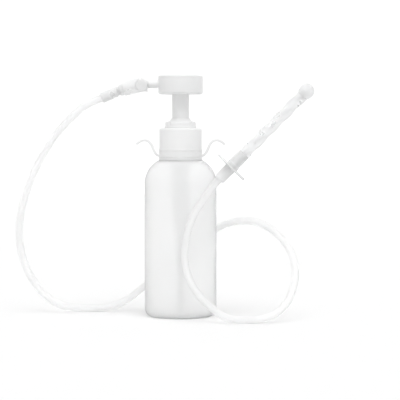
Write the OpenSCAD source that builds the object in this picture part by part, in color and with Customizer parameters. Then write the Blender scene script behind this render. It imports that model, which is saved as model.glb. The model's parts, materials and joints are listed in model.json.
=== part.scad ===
// Wash bottle with a hand pump: a frosted bottle with a hook ring, a screw cap and
// a press pump, whose spout feeds a long hose and a clear twisted nozzle.
// Millimetres, +Z up, origin at the centre of the bottle's foot, spout towards -X.

/* [Bottle] */
// Radius of the straight side
bottle_r = 30; // [29:0.5:31]
// Radius of the rounded shoulder's section
shoulder_round = 22; // [20:0.5:24]
// Height at which the shoulder ends and the neck begins
land_z = 131; // [130:0.2:132]
// Thickness of the blown wall
wall = 1.2; // [1:0.1:1.4]
// Radius of the bottom edge
base_round = 7; // [6:0.5:8]
// Inner radius of the flat foot ring
foot_in_r = 19; // [17:0.5:20]
// Rise of the bottom inside the foot ring
foot_rise = 1.2; // [0.8:0.1:1.6]
// Outer radius of the neck between its threads
neck_r = 13.5; // [13.4:0.1:13.6]
// Height of the neck above the land
neck_h = 22.1; // [21.9:0.1:22.5]
// Height of the bead that the hook ring rests on
bead_h = 2.6; // [2.4:0.1:2.8]

/* [Screw thread] */
// Rise of the thread in one turn
pitch = 3.2; // [3.1:0.1:3.3]
// Depth of the thread on the neck and in the cap
thread_depth = 1.4; // [1.3:0.1:1.5]
// Width of the thread at its root
thread_root = 1.9; // [1.7:0.1:2]
// Width of the thread at its crest
thread_crest = 1.1; // [0.9:0.1:1.2]

/* [Hook ring] */
// Height of the ring's band
ring_h = 4.8; // [4.4:0.2:5]
// Outer radius of the ring's band
ring_r = 17.9; // [17.7:0.1:18.1]
// Thickness of the hook arms
hook_t = 2; // [1.8:0.1:2.2]
// Width of the hook arms
hook_w = 6; // [5:0.5:7]

/* [Cap and collar] */
// Outer radius of the screw cap
cap_r = 17.8; // [17.7:0.1:18]
// Height of the screw cap
cap_h = 19.2; // [19:0.1:19.4]
// Thickness of the cap's top
cap_top_t = 1.8; // [1.6:0.1:2]
// Radius of the pump's collar
collar_r = 13.2; // [13:0.1:13.6]
// Height of the pump's collar above the cap
collar_h = 8.1; // [8:0.1:8.4]

/* [Pump] */
// Radius of the round stem under the head
stem_r = 7.1; // [7:0.05:7.2]
// Length of stem that shows between collar and head
stem_show = 20.2; // [20:0.2:22]
// Travel of the head when pressed
stroke = 19; // [15:1:19]
// Radius of the head
head_r = 18.6; // [18:0.2:19.2]
// Height of the head
head_h = 15.4; // [15:0.2:16]
// Inner radius of the pump's cylinder
cylinder_r = 6; // [5.8:0.1:6.2]
// Radius of the valve balls
ball_r = 2.4; // [2.3:0.05:2.5]

/* [Spout and hose valve] */
// Radius of the spout
spout_r = 3.5; // [3.4:0.1:3.7]
// Length of spout that shows beside the head
spout_show = 8.5; // [8:0.1:9]
// Width of the eight-sided valve hub across its flats
hub_flats = 10.2; // [9.8:0.1:10.4]
// Length of the round barrel after the hub
barrel_l = 19.6; // [18:0.2:21]
// Radius of the barrel at its far end
barrel_r = 5.7; // [5.5:0.1:5.9]
// Length of the sleeve that clamps the hose
sleeve_l = 13.6; // [12:0.2:14.4]

/* [Hose] */
// Outer radius of the hose
hose_r = 3; // [2.8:0.1:3.1]
// Radius of the hose's bore
hose_bore_r = 2; // [1.9:0.05:2]

/* [Nozzle] */
// Radius of the thin stop disc
disc_r = 14.6; // [13:0.2:16]
// Thickness of the stop disc
disc_t = 1.6; // [1.4:0.1:2]
// Length of the smooth base above the disc
base_l = 14.6; // [14:0.2:16]
// Radius of the smooth base
base_r = 5.3; // [5.1:0.1:5.5]
// Length of the twisted shaft
shaft_l = 66; // [60:1:72]
// Mean radius of the twisted shaft
shaft_r = 4.4; // [4.2:0.1:4.6]
// Height of the shaft's three twisted ridges
ridge = 0.5; // [0.3:0.05:0.6]
// Length of shaft in which a ridge goes once round
twist_length = 48; // [40:2:60]
// Radius of the bulb at the tip
bulb_r = 6; // [5.8:0.1:6.4]
// Number of ports in the tip around its middle one
tip_ports = 5; // [4:1:6]

/* [Hidden] */
$fn = 64;

frosted = [0.93, 0.94, 0.94];
white = [0.93, 0.93, 0.93];
clear = [0.86, 0.88, 0.9];
milky = [0.95, 0.96, 0.96];
rubber = [0.75, 0.76, 0.78];
steel = [0.7, 0.71, 0.73];

// Clearances: a running fit, the gap of a loose part, and a gap that only parts two faces
run = 0.05;
loose = 0.3;
hair = 0.02;
// How far a thread is sunk into the wall that carries it
sunk = 0.3;
// A cut runs this far past the face that it opens
past = 1;

// Heights, from the foot up
shoulder_in = bottle_r - shoulder_round;
shoulder_z = land_z - sqrt(pow(shoulder_round, 2) - pow(ring_r - 0.2 - shoulder_in, 2));
floor_z = foot_rise + wall;
ring_z = land_z + bead_h;
cap_z = ring_z + ring_h + 0.1;
cap_top_z = cap_z + cap_h;
rim_z = land_z + neck_h;
flange_z = cap_top_z - cap_top_t - 1.6;
collar_top_z = cap_top_z + collar_h;
head_z = collar_top_z + stem_show;
head_top_z = head_z + head_h;
spout_z = head_z + 8.6;

// Neck and cap
neck_bore_r = 12;
cap_in_r = neck_r + thread_depth + 0.5;
thread_z = rim_z - 9.6;
thread_turns = 1.6;
thread_steps = 24;

// Pump housing: a wide cup in the neck, then the cylinder, then the ball's seat
cup_r = 10.9;
cup_in_r = 9.6;
cup_z = land_z + 2;
cone_h = 9;
cylinder_top_z = cup_z - cone_h;
cylinder_z = cylinder_top_z - 40;
cylinder_out_r = cylinder_r + 1.2;
boss_r = 10;
boss_in_r = 8;
boss_top_z = cap_top_z + 4.2;
seat_bore_r = 1.5;
chamber_r = ball_r + 1;
ball_travel = 2;
// A ball on a 45 degree cone: height of its centre over the cone's small end
ball_lift = ball_r * sqrt(2) - seat_bore_r + hair;
seat_z = cylinder_z - ball_lift - ball_r - ball_travel - hair;
tail_z = seat_z - 7.5;
tail_r = 4.4;
tube_r = 3.1;
tube_bore_r = 2.2;
tube_foot_z = 5.4;

// Plunger
rod_r = 3.2;
rod_bore_r = 2;
rod_foot_r = 5.4;
rod_foot_t = 1.2;
stem_in_r = 5.6;
stem_foot_z = rim_z - 1.6;
seal_z = cylinder_top_z - 6.4;
seal_h = 6;
retainer_t = 1.2;
spring_z = cylinder_z + retainer_t;
spring_wire_r = 0.5;
spring_r = rod_foot_r - spring_wire_r;
spring_turns = 8;
flat_turn = 217;
flat_d = 0.45;
head_wall = 1.8;
cover_t = 2;
head_boss_r = 5.5;
rod_top_z = head_z + 4.5;
out_ball_z = rod_top_z + sqrt(pow(ball_r, 2) - pow(rod_bore_r, 2)) + hair;

// Spout, valve hub, barrel and hose sleeve: places along the spout count from the pump's axis
spout_end = head_r + spout_show;
hub_u = spout_end + 0.1 + hub_flats / 2;
key_z = spout_z - 1.2;
barrel_down = 16.5;
tail_down = 23;
hub_half = 4.4;
key_r = 2.9;
key_front = 7.2;
knob_flats = hub_flats - 0.6;
knob_room = knob_flats / 2 / cos(22.5) + 0.4;
port_r = 1.3;
spigot_r = 2.25;
insert_r = 2.4;
barrel_end = [-hub_u - barrel_l * cos(barrel_down), 0, spout_z - barrel_l * sin(barrel_down)];
tail_dir = [-cos(tail_down), 0, -sin(tail_down)];
sleeve_start = 2.4;
hose_exit = barrel_end + (sleeve_start + sleeve_l) * tail_dir;

// Nozzle: the disc's middle, and how far the axis leans from upright
disc_at = [41.2, -35, 125.6];
nozzle_lean = 44.8;
nozzle_dir = [sin(nozzle_lean), 0, cos(nozzle_lean)];
stud_r = 2.9;
cuff_l = 11.4;
fitting_flange_t = 2;
cuff_end = -disc_t / 2 - fitting_flange_t - cuff_l;
hose_stop = disc_at + cuff_end * nozzle_dir;
shaft_z = disc_t / 2 + base_l;
plug_l = 6;
plug_r = 3.4;
tip_z = shaft_z + shaft_l;
bulb_l = 12.4;
nozzle_bore_r = 1.4;

// Points that the hose follows after the sleeve: down the left loop to the floor, behind
// the bottle, round the right loop and along the floor, then up in front to the nozzle
hose_route = concat([hose_exit + 4 * tail_dir], [
    [-82, 1, 175], [-96, 4, 162], [-110, 8, 145], [-123, 12, 122], [-132, 16, 99],
    [-137, 20, 76], [-136, 23, 54], [-129, 26, 33], [-117, 28, 16], [-101, 30, 6],
    [-82, 32, 3.3], [-63, 35, 4], [-47, 38, 9.5], [-32, 40, 21], [-17, 41, 35],
    [0, 41, 50], [17, 38, 63], [31, 31, 72], [46, 22, 78], [60, 12, 79], [73, 1, 75],
    [84, -11, 66], [92, -22, 53], [94, -32, 37], [89, -42, 20], [79, -50, 9],
    [66, -56, 3.9], [52, -58, 3.3], [39, -57, 4.4], [27, -54, 10.5], [16, -50, 21],
    [7, -46, 35], [3, -42, 54], [6, -39, 74], [13, -37, 91]],
    [hose_stop - 6 * nozzle_dir]);

// The right hook's middle line as [distance from the axis, height over the ring's foot]
hook_line = [[16.4, 1.1], [18.4, 1.2], [20.6, 2.6], [22.6, 6], [24.4, 10.2], [27, 13.1],
    [30.6, 14.2], [34.2, 12.9], [37, 10.6]];

// Item i of a list, or its first or last item past the ends
function item(p, i) = p[max(0, min(len(p) - 1, i))];
function unit(v) = v / norm(v);
// A smooth curve through points a, b, c and d, between b and c
function between(a, b, c, d, t) = ((2 * b) + (c - a) * t + (2 * a - 5 * b + 4 * c - d) * t * t
    + (3 * b - a - 3 * c + d) * t * t * t) / 2;
// A list of points with n steps of a smooth curve between each two
function smooth(p, n) = concat(
    [for (i = [0:len(p) - 2]) for (k = [0:n - 1])
        between(item(p, i - 1), p[i], p[i + 1], item(p, i + 2), k / n)],
    [p[len(p) - 1]]);
// The way to the left of a flat line at its point i
function left(p, i) = let(d = unit(item(p, i + 1) - item(p, i - 1))) [-d[1], d[0]];
// Outline of a strip of width w along a flat line, with a round far end
function strip(p, w) = let(m = len(p) - 1, e = left(p, m), turn = atan2(e[1], e[0])) concat(
    [for (i = [0:m]) p[i] + left(p, i) * w / 2],
    [for (a = [30:30:150]) p[m] + [cos(turn - a), sin(turn - a)] * w / 2],
    [for (i = [m:-1:0]) p[i] - left(p, i) * w / 2]);
// A ring of n points of radius r around point i of a line that never runs along side
function ring(p, i, r, n, side) = let(t = unit(item(p, i + 1) - item(p, i - 1)),
    a = unit(cross(t, side)), b = cross(t, a))
    [for (k = [0:n - 1]) p[i] + r * (cos(360 * k / n) * a + sin(360 * k / n) * b)];
// Faces of the skin over m rings of n points, whose first point is number f
function skin(m, n, f) = [for (i = [0:m - 2]) for (k = [0:n - 1])
    let(a = f + i * n + k, b = f + i * n + (k + 1) % n) each [[a, b + n, b], [a, a + n, b + n]]];
function turned(faces) = [for (t = faces) [t[0], t[2], t[1]]];
// A helix of radius r and height h in the given turns, steps points a turn
function helix(r, h, turns, steps) = [for (i = [0:turns * steps])
    [r * cos(360 * i / steps), r * sin(360 * i / steps), h * i / (turns * steps)]];

// A round wire of radius r along a line
module wire(p, r, n, side) {
    m = len(p);
    polyhedron(points = [for (i = [0:m - 1]) each ring(p, i, r, n, side)],
        faces = concat(skin(m, n, 0), [[for (k = [0:n - 1]) k]],
            [[for (k = [n - 1:-1:0]) (m - 1) * n + k]]), convexity = 10);
}

// A tube along a line, closed at its two ends by flat rings
module tube(p, r_out, r_in, n, side) {
    m = len(p);
    ends = [for (k = [0:n - 1]) let(j = (k + 1) % n, o = m * n, z = (m - 1) * n) each
        [[k, j, o + j], [k, o + j, o + k], [z + k, z + o + j, z + j], [z + k, z + o + k, z + o + j]]];
    polyhedron(points = concat([for (i = [0:m - 1]) each ring(p, i, r_out, n, side)],
        [for (i = [0:m - 1]) each ring(p, i, r_in, n, side)]),
        faces = concat(skin(m, n, 0), turned(skin(m, n, m * n)), ends), convexity = 10);
}

// A thread on a wall of radius r, reaching out by depth, or in where depth is negative
module thread(r, depth, z, turns) {
    steps = round(turns * thread_steps);
    way = sign(depth);
    root = r - way * sunk;
    points = [for (i = [0:steps])
        let(a = 360 * i / thread_steps, up = z + pitch * i / thread_steps,
            full = min(1, i / 3, (steps - i) / 3), crest = r - way * 0.1 + (depth + way * 0.1) * full)
        each [for (q = [[root, -thread_root], [crest, -thread_crest], [crest, thread_crest],
            [root, thread_root]]) [q[0] * cos(a), q[0] * sin(a), up + q[1] / 2]]];
    caps = [[0, 1, 2], [0, 2, 3], [steps * 4, steps * 4 + 2, steps * 4 + 1],
        [steps * 4, steps * 4 + 3, steps * 4 + 2]];
    faces = concat(turned(skin(steps + 1, 4, 0)), turned(caps));
    polyhedron(points = points, faces = way > 0 ? faces : turned(faces), convexity = 10);
}

// First quarter of a circle
module quarter(r) intersection() {
    circle(r);
    square(r);
}

// Half section of a disc of radius r and height h with rounded top and low edges
module disc_section(r, h, top, low) {
    translate([0, low]) square([r, h - low - top]);
    if (top > 0) {
        translate([0, h - top]) square([r - top, top]);
        translate([r - top, h - top]) quarter(top);
    }
    if (low > 0) {
        square([r - low, low]);
        translate([r - low, low]) mirror([0, 1]) quarter(low);
    }
}

// Half section of the bottle's body, a distance inside its outer skin
module body_section(inset) {
    r = bottle_r - inset;
    translate([0, base_round]) square([r, shoulder_z - base_round]);
    translate([0, inset]) square([bottle_r - base_round, base_round - inset]);
    translate([bottle_r - base_round, base_round]) mirror([0, 1]) quarter(base_round - inset);
    translate([0, shoulder_z]) intersection() {
        union() {
            square([shoulder_in, shoulder_round]);
            translate([shoulder_in, 0]) quarter(shoulder_round - inset);
        }
        square([r, land_z - shoulder_z - inset]);
    }
}

// A round bar or hole of radius r from height a to height b
module rod(r, a, b) translate([0, 0, a]) cylinder(r = r, h = b - a);

// A round tube from height a to height b
module pipe(r_out, r_in, a, b) difference() {
    rod(r_out, a, b);
    rod(r_in, a - past, b + past);
}

// Puts a shape's +Z along the spout, from the pump's axis outwards
module along_spout() translate([0, 0, spout_z]) rotate([0, -90, 0]) children();

// Puts a shape's +Z along the barrel, from a point over the valve's middle outwards
module along_barrel() translate([-hub_u, 0, spout_z]) rotate([0, -90 - barrel_down, 0]) children();

// Puts a shape's +Z along the hose tail, from the barrel's end outwards
module along_tail() translate(barrel_end) rotate([0, -90 - tail_down, 0]) children();

// Puts a shape's +Z along the valve key, towards the front
module along_key() translate([-hub_u, 0, key_z]) rotate([90, 0, 0]) children();

// Puts a shape's +Z along the nozzle, from the disc's middle to the tip
module along_nozzle() translate(disc_at) rotate([0, nozzle_lean, 0]) children();

// An eight-sided bar with flats left and right, from height a to height b
module octagon(flats, a, b) translate([0, 0, a]) rotate(22.5)
    cylinder(r = flats / 2 / cos(22.5), h = b - a, $fn = 8);

// Half section of the whole bottle without its thread
module bottle_section() difference() {
    union() {
        body_section(0);
        translate([0, land_z]) square([neck_r, neck_h]);
        translate([0, land_z]) disc_section(ring_r, bead_h, 0.4, 0);
    }
    intersection() {
        body_section(wall);
        translate([0, floor_z]) square([bottle_r, land_z]);
    }
    translate([0, land_z - 2 * wall]) square([neck_bore_r, neck_h + 3 * wall]);
    polygon([[0, -past], [foot_in_r, -past], [foot_in_r, 0], [foot_in_r - 2, foot_rise],
        [0, foot_rise]]);
}

// The bottle is one blown piece. Its nodes meet face to face at plain heights, so that
// each one is a simple open shape for collision.
module bottle_part(a, b) color(frosted) rotate_extrude() intersection() {
    bottle_section();
    translate([0, a]) square([bottle_r + past, b - a]);
}

module bottle_base() bottle_part(-past, base_round);

module bottle_wall() bottle_part(base_round, shoulder_z);

module bottle_shoulder() bottle_part(shoulder_z, land_z);

module bottle_neck() color(frosted) union() {
    bottle_part(land_z, rim_z + past);
    thread(neck_r, thread_depth, thread_z, thread_turns);
}

module hook_arm() translate([0, 0, ring_z]) rotate([90, 0, 0])
    linear_extrude(hook_w, center = true) polygon(strip(smooth(hook_line, 3), hook_t));

module hook_ring() color(white) union() {
    band_in_r = neck_r + thread_depth + loose;
    rotate_extrude() translate([band_in_r, ring_z])
        polygon([[0, 0], [ring_r - band_in_r, 0], [ring_r - band_in_r, ring_h - 0.4],
            [ring_r - band_in_r - 0.4, ring_h], [0.4, ring_h], [0, ring_h - 0.4]]);
    for (turn = [0, 180]) rotate(turn) hook_arm();
}

module screw_cap() color(white) union() {
    translate([0, 0, cap_z]) rotate_extrude() difference() {
        union() {
            disc_section(cap_r, cap_h, 0.9, 0);
            disc_section(cap_r + 0.2, 1.7, 0.4, 0.3);
        }
        translate([0, -past]) square([cap_in_r, cap_h - cap_top_t + past]);
        square([boss_r + loose, cap_h + past]);
    }
    thread(cap_in_r, -thread_depth, thread_z - pitch / 2, thread_turns - 0.1);
}

module cap_gasket() color(rubber) pipe(neck_r - 0.2, cup_r + 0.1, rim_z, flange_z);

// What lies outside a flat that is a distance from the axis, on the stem's keyed side
module outside_flat(from_r, a, b) rotate(flat_turn)
    translate([from_r, -2 * stem_r, a]) cube([stem_r, 4 * stem_r, b - a]);

module pump_collar() color(white) {
    web_r = stem_r + 0.1;
    skirt = boss_top_z - cap_top_z;
    difference() {
        translate([0, 0, cap_top_z]) rotate_extrude()
            polygon([[boss_r, 0], [collar_r, 0], [collar_r, 1.4], [collar_r - 0.4, 1.8],
                [collar_r - 0.4, 4.6], [collar_r - 1, 5.3], [collar_r - 3, 5.6],
                [collar_r - 4.3, 6.4], [collar_r - 5.1, collar_h - 0.6], [collar_r - 5.4, collar_h],
                [web_r, collar_h], [web_r, skirt], [boss_r, skirt]]);
        for (turn = [45:90:315]) rotate(turn)
            translate([collar_r + 0.4, 0, cap_top_z + 2]) cylinder(r = 1.6, h = collar_h);
    }
    intersection() {
        pipe(web_r + 0.2, stem_in_r, boss_top_z, collar_top_z);
        outside_flat(stem_r - flat_d + 0.1, boss_top_z - past, collar_top_z + past);
    }
}

module wiper_seal() color(rubber) translate([0, 0, boss_top_z - 1.6]) rotate_extrude()
    polygon([[stem_r + run, 0], [boss_in_r, 0], [boss_in_r, 1.6], [stem_r + run, 1.6],
        [stem_r + 0.3, 1.1], [stem_r + 0.3, 0.5]]);

module pump_cylinder() color(milky) difference() {
    rotate_extrude() polygon([[0, tail_z], [tail_r, tail_z], [tail_r, seat_z],
        [cylinder_out_r, cylinder_z - 3], [cylinder_out_r, cylinder_top_z], [cup_r, cup_z],
        [cup_r, flange_z], [neck_r - 0.3, flange_z], [neck_r - 0.3, flange_z + 1.6],
        [boss_r, flange_z + 1.6], [boss_r, boss_top_z], [0, boss_top_z]]);
    rotate_extrude() polygon([[0, tail_z - past], [tube_r, tail_z - past], [tube_r, seat_z - 1.5],
        [seat_bore_r, seat_z - 1.5], [seat_bore_r, seat_z],
        [chamber_r, seat_z + chamber_r - seat_bore_r], [chamber_r, cylinder_z],
        [cylinder_r, cylinder_z], [cylinder_r, cylinder_top_z], [cup_in_r, cup_z],
        [cup_in_r, flange_z - 3], [stem_r + loose, flange_z - 1],
        [stem_r + loose, boss_top_z - 1.6], [boss_in_r, boss_top_z - 1.6],
        [boss_in_r, boss_top_z + past], [0, boss_top_z + past]]);
}

module ball_retainer() color(milky) difference() {
    rod(cylinder_r, cylinder_z, spring_z);
    rod(seat_bore_r, cylinder_z - past, spring_z + past);
    for (turn = [0:60:300]) rotate(turn) translate([3, 0, cylinder_z - past])
        cylinder(r = 0.8, h = retainer_t + 2 * past);
}

module inlet_ball() color(steel) translate([0, 0, seat_z + ball_lift]) sphere(ball_r);

module return_spring() color(steel) {
    h = seal_z - rod_foot_t - spring_z - 2 * spring_wire_r - 2 * hair;
    translate([0, 0, spring_z + spring_wire_r + hair])
        wire(helix(spring_r, h, spring_turns, 14), spring_wire_r, 6, [0, 0, 1]);
}

module dip_tube() color(milky) difference() {
    pipe(tube_r, tube_bore_r, tube_foot_z, seat_z - 1.5);
    translate([-tube_r - past, -tube_r - past, tube_foot_z]) rotate([0, 35, 0])
        translate([0, 0, -10]) cube([20, 2 * (tube_r + past), 10]);
}

module stem() color(white) difference() {
    rod(stem_r, stem_foot_z, head_z);
    rod(stem_in_r, stem_foot_z - past, head_z - 2);
    rod(rod_r, stem_foot_z, head_z + past);
    outside_flat(stem_r - flat_d, stem_foot_z - past, head_z + past);
}

module piston_rod() color(milky) difference() {
    union() {
        rod(rod_r, seal_z - rod_foot_t, rod_top_z);
        rod(rod_foot_r, seal_z - rod_foot_t, seal_z);
        rod(rod_r + 1, seal_z + seal_h, seal_z + seal_h + 1);
    }
    rod(rod_bore_r, seal_z - rod_foot_t - past, rod_top_z + past);
}

module piston_seal() color(rubber) translate([0, 0, seal_z]) rotate_extrude() {
    lip_r = cylinder_r - run;
    polygon([[rod_r, 0], [lip_r - 0.8, 0], [lip_r, 0.8], [lip_r, 1.4], [lip_r - 0.7, 2.2],
        [lip_r - 0.7, seal_h - 2.2], [lip_r, seal_h - 1.4], [lip_r, seal_h - 0.6],
        [lip_r - 0.6, seal_h], [rod_r, seal_h]]);
}

module outlet_ball() color(steel) translate([0, 0, out_ball_z]) sphere(ball_r);

module head_shell() color(white) difference() {
    union() {
        translate([0, 0, head_z]) rotate_extrude() difference() {
            disc_section(head_r, head_h - cover_t, 0, 1.8);
            translate([0, head_wall]) square([head_r - head_wall, head_h]);
        }
        rod(head_boss_r, head_z, head_top_z - cover_t - 0.8);
        along_spout() rod(spout_r, 0, spout_end);
    }
    rod(rod_r, head_z - past, rod_top_z);
    rod(chamber_r, rod_top_z - hair, out_ball_z + ball_r + ball_travel + hair);
    along_spout() rod(port_r, 0, spout_end + past);
    along_spout() rod(spigot_r + run, head_r, spout_end + past);
}

module head_cover() color(white) translate([0, 0, head_top_z - cover_t]) rotate_extrude() {
    lip_r = head_r - head_wall - run;
    lip_h = head_top_z - cover_t - spout_z - spout_r - 0.1;
    disc_section(head_r, cover_t, 0.9, 0);
    translate([lip_r - 1.2, -lip_h]) square([1.2, lip_h]);
}

module spout_seal() color(rubber) along_spout()
    pipe(spigot_r + run - hair, spigot_r - 0.5, spout_end - 5, spout_end - 4);

module valve_body() color(clear) difference() {
    union() {
        along_key() octagon(hub_flats, -hub_half, hub_half);
        translate([-hub_u + hub_flats / 2 - 2.2, 0.2 - hub_half, key_z - hub_flats / 2 - 0.3])
            cube([1.9, 2 * hub_half - 0.4, hub_flats / 2]);
        along_spout() rod(spigot_r, spout_end - 7, hub_u);
        along_barrel() rotate_extrude() polygon([[0, 1.2], [barrel_r, 1.2], [barrel_r + 0.6, 2],
            [barrel_r + 0.6, 7], [barrel_r, barrel_l - 3.8], [barrel_r - 0.8, barrel_l - 3],
            [4.4, barrel_l], [0, barrel_l]]);
    }
    along_key() rod(key_r + run, -6, 6);
    along_key() rod(knob_room, hub_half, 9);
    along_key() rod(knob_room, -9, -hub_half);
    along_spout() rod(port_r, 0, hub_u);
    along_spout() pipe(spigot_r + past, spigot_r - 0.5, spout_end - 5 - hair, spout_end - 4 + hair);
    along_barrel() rod(port_r, 2, barrel_l);
    along_tail() rod(insert_r, -6, 6);
}

module valve_key() color(clear) difference() {
    union() {
        along_key() rod(key_r, -6.4, 5);
        along_key() octagon(knob_flats, hub_half + loose, key_front);
        translate([-hub_u - 1, -key_front, key_z + 3]) cube([2, key_front - hub_half - loose, 3.6]);
    }
    along_spout() rod(port_r, hub_u - 5, hub_u + 5);
}

module key_cap() color(clear) along_key() pipe(key_r + 1, key_r, -6, -hub_half - loose / 2);

module hose_barb() color(clear) along_tail() difference() {
    union() {
        rod(insert_r, -6, 0.4);
        rod(hose_r + 0.2, 0.4, sleeve_start);
        for (a = [0.4, 1.4]) rod(hose_r + 0.8, a, a + 0.6);
        rod(hose_bore_r - run, 0, sleeve_start + sleeve_l - 1);
    }
    rod(port_r, -6 - past, sleeve_start + sleeve_l);
}

module hose_sleeve() color(clear) along_tail() rotate_extrude()
    polygon([[hose_r, sleeve_start], [hose_r + 0.9, sleeve_start], [hose_r + 1.3, sleeve_start + 0.6],
        [hose_r + 1.3, sleeve_start + sleeve_l - 0.5], [hose_r + 1, sleeve_start + sleeve_l],
        [hose_r, sleeve_start + sleeve_l]]);

module hose_top_end() color(milky) along_tail()
    pipe(hose_r, hose_bore_r, sleeve_start, sleeve_start + sleeve_l);

module hose() color(milky) {
    path = concat([hose_exit + hair * tail_dir], smooth(hose_route, 2), [hose_stop - hair * nozzle_dir]);
    tube(path, hose_r, hose_bore_r, 10, [0, 1, 0]);
}

module hose_low_end() color(milky) along_nozzle() pipe(hose_r, hose_bore_r, cuff_end, cuff_end + cuff_l);

module nozzle_cuff() color(clear) along_nozzle() rotate_extrude()
    polygon([[hose_r, cuff_end], [hose_r + 1, cuff_end], [hose_r + 1.5, cuff_end + 1.2],
        [hose_r + 1.7, cuff_end + cuff_l], [hose_r, cuff_end + cuff_l]]);

module barb_fitting() color(clear) along_nozzle() difference() {
    union() {
        rod(hose_bore_r - run, cuff_end + 1, -disc_t / 2);
        rod(hose_r + 1.7, cuff_end + cuff_l, -disc_t / 2);
        rod(stud_r, -disc_t / 2, disc_t / 2 + 7);
    }
    rod(port_r, cuff_end, disc_t / 2 + 8);
    pipe(stud_r + past, stud_r - 0.6, disc_t / 2 + 4 - hair, disc_t / 2 + 5 + hair);
}

module flange_disc() color(clear) along_nozzle() difference() {
    translate([0, 0, -disc_t / 2]) rotate_extrude() disc_section(disc_r, disc_t, 0.5, 0.5);
    rod(stud_r + run, -disc_t, disc_t);
}

module base_seal() color(rubber) along_nozzle()
    pipe(stud_r + run - hair, stud_r - 0.6, disc_t / 2 + 4, disc_t / 2 + 5);

module nozzle_base() color(clear) along_nozzle() difference() {
    rotate_extrude() polygon([[0, disc_t / 2], [base_r, disc_t / 2], [base_r, disc_t / 2 + 2.4],
        [base_r - 0.4, disc_t / 2 + 3], [base_r - 0.5, shaft_z - 1], [base_r - 0.9, shaft_z],
        [0, shaft_z]]);
    rod(stud_r + run, 0, disc_t / 2 + 7.2);
    rod(nozzle_bore_r, 0, shaft_z);
    rod(plug_r + run, shaft_z - plug_l - 0.2, shaft_z + past);
}

// Section of the shaft: a circle with three soft ridges
module shaft_section() polygon([for (a = [0:15:345]) (shaft_r + ridge * cos(3 * a)) * [cos(a), sin(a)]]);

module nozzle_shaft() color(clear) along_nozzle() difference() {
    union() {
        translate([0, 0, shaft_z]) linear_extrude(shaft_l, twist = -360 * shaft_l / twist_length,
            slices = 34) shaft_section();
        rod(plug_r, shaft_z - plug_l, shaft_z + past);
        rod(plug_r, tip_z - past, tip_z + 5);
    }
    rod(nozzle_bore_r, shaft_z - plug_l - past, tip_z + 5 + past);
    for (i = [0:3]) translate([0, 0, shaft_z + 12 + 15 * i]) rotate([90, 0, 70 * i])
        cylinder(r = 0.6, h = shaft_r + ridge + past);
}

module nozzle_tip() color(clear) along_nozzle() difference() {
    translate([0, 0, tip_z]) rotate_extrude() intersection() {
        union() {
            translate([0, bulb_l - bulb_r]) intersection() {
                circle(bulb_r);
                square([bulb_r, bulb_r]);
            }
            polygon([[0, 0], [shaft_r, 0], [bulb_r - 0.5, 3], [bulb_r, 4.6], [bulb_r, bulb_l - bulb_r],
                [0, bulb_l - bulb_r]]);
        }
        square([bulb_r, bulb_l - 0.6]);
    }
    rod(plug_r + hair, tip_z - past, tip_z + 5.2);
    rod(nozzle_bore_r, tip_z, tip_z + bulb_l - 4);
    rod(0.7, tip_z, tip_z + bulb_l + past);
    for (turn = [0:360 / tip_ports:359]) translate([0, 0, tip_z + bulb_l - 4.6])
        rotate([0, 50, turn]) cylinder(r = 0.6, h = bulb_r + past);
}

bottle_base();
bottle_wall();
bottle_shoulder();
bottle_neck();
hook_ring();
screw_cap();
cap_gasket();
pump_collar();
wiper_seal();
pump_cylinder();
ball_retainer();
inlet_ball();
return_spring();
dip_tube();
stem();
piston_rod();
piston_seal();
outlet_ball();
head_shell();
head_cover();
spout_seal();
valve_body();
valve_key();
key_cap();
hose_barb();
hose_sleeve();
hose_top_end();
hose();
hose_low_end();
nozzle_cuff();
barb_fitting();
flange_disc();
nozzle_base();
base_seal();
nozzle_shaft();
nozzle_tip();
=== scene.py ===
"""Wash bottle with a hand pump, a long hose and a clear twisted nozzle, in studio light."""
import json
from math import acos, asin, atan2, cos, degrees, pi, radians, sin, tan

import bmesh
import bpy
from mathutils import Matrix, Vector


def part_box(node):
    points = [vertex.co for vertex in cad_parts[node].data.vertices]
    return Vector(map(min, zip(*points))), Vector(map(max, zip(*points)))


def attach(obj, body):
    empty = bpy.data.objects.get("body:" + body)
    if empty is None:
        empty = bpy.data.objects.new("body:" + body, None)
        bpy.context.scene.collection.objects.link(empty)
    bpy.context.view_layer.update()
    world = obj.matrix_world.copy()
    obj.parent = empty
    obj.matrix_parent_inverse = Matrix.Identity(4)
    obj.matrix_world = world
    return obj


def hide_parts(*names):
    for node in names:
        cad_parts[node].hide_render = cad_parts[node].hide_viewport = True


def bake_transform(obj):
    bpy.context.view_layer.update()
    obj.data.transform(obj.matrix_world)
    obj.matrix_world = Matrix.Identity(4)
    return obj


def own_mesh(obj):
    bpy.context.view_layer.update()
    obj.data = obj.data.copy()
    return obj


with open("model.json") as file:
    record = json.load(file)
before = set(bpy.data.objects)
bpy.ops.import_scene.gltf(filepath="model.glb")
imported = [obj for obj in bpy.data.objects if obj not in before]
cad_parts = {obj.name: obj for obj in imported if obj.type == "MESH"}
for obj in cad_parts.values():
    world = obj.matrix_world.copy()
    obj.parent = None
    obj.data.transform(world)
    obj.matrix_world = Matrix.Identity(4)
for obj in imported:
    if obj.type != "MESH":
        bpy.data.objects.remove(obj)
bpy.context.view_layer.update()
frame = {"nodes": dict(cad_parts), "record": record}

MM = 0.001

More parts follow.
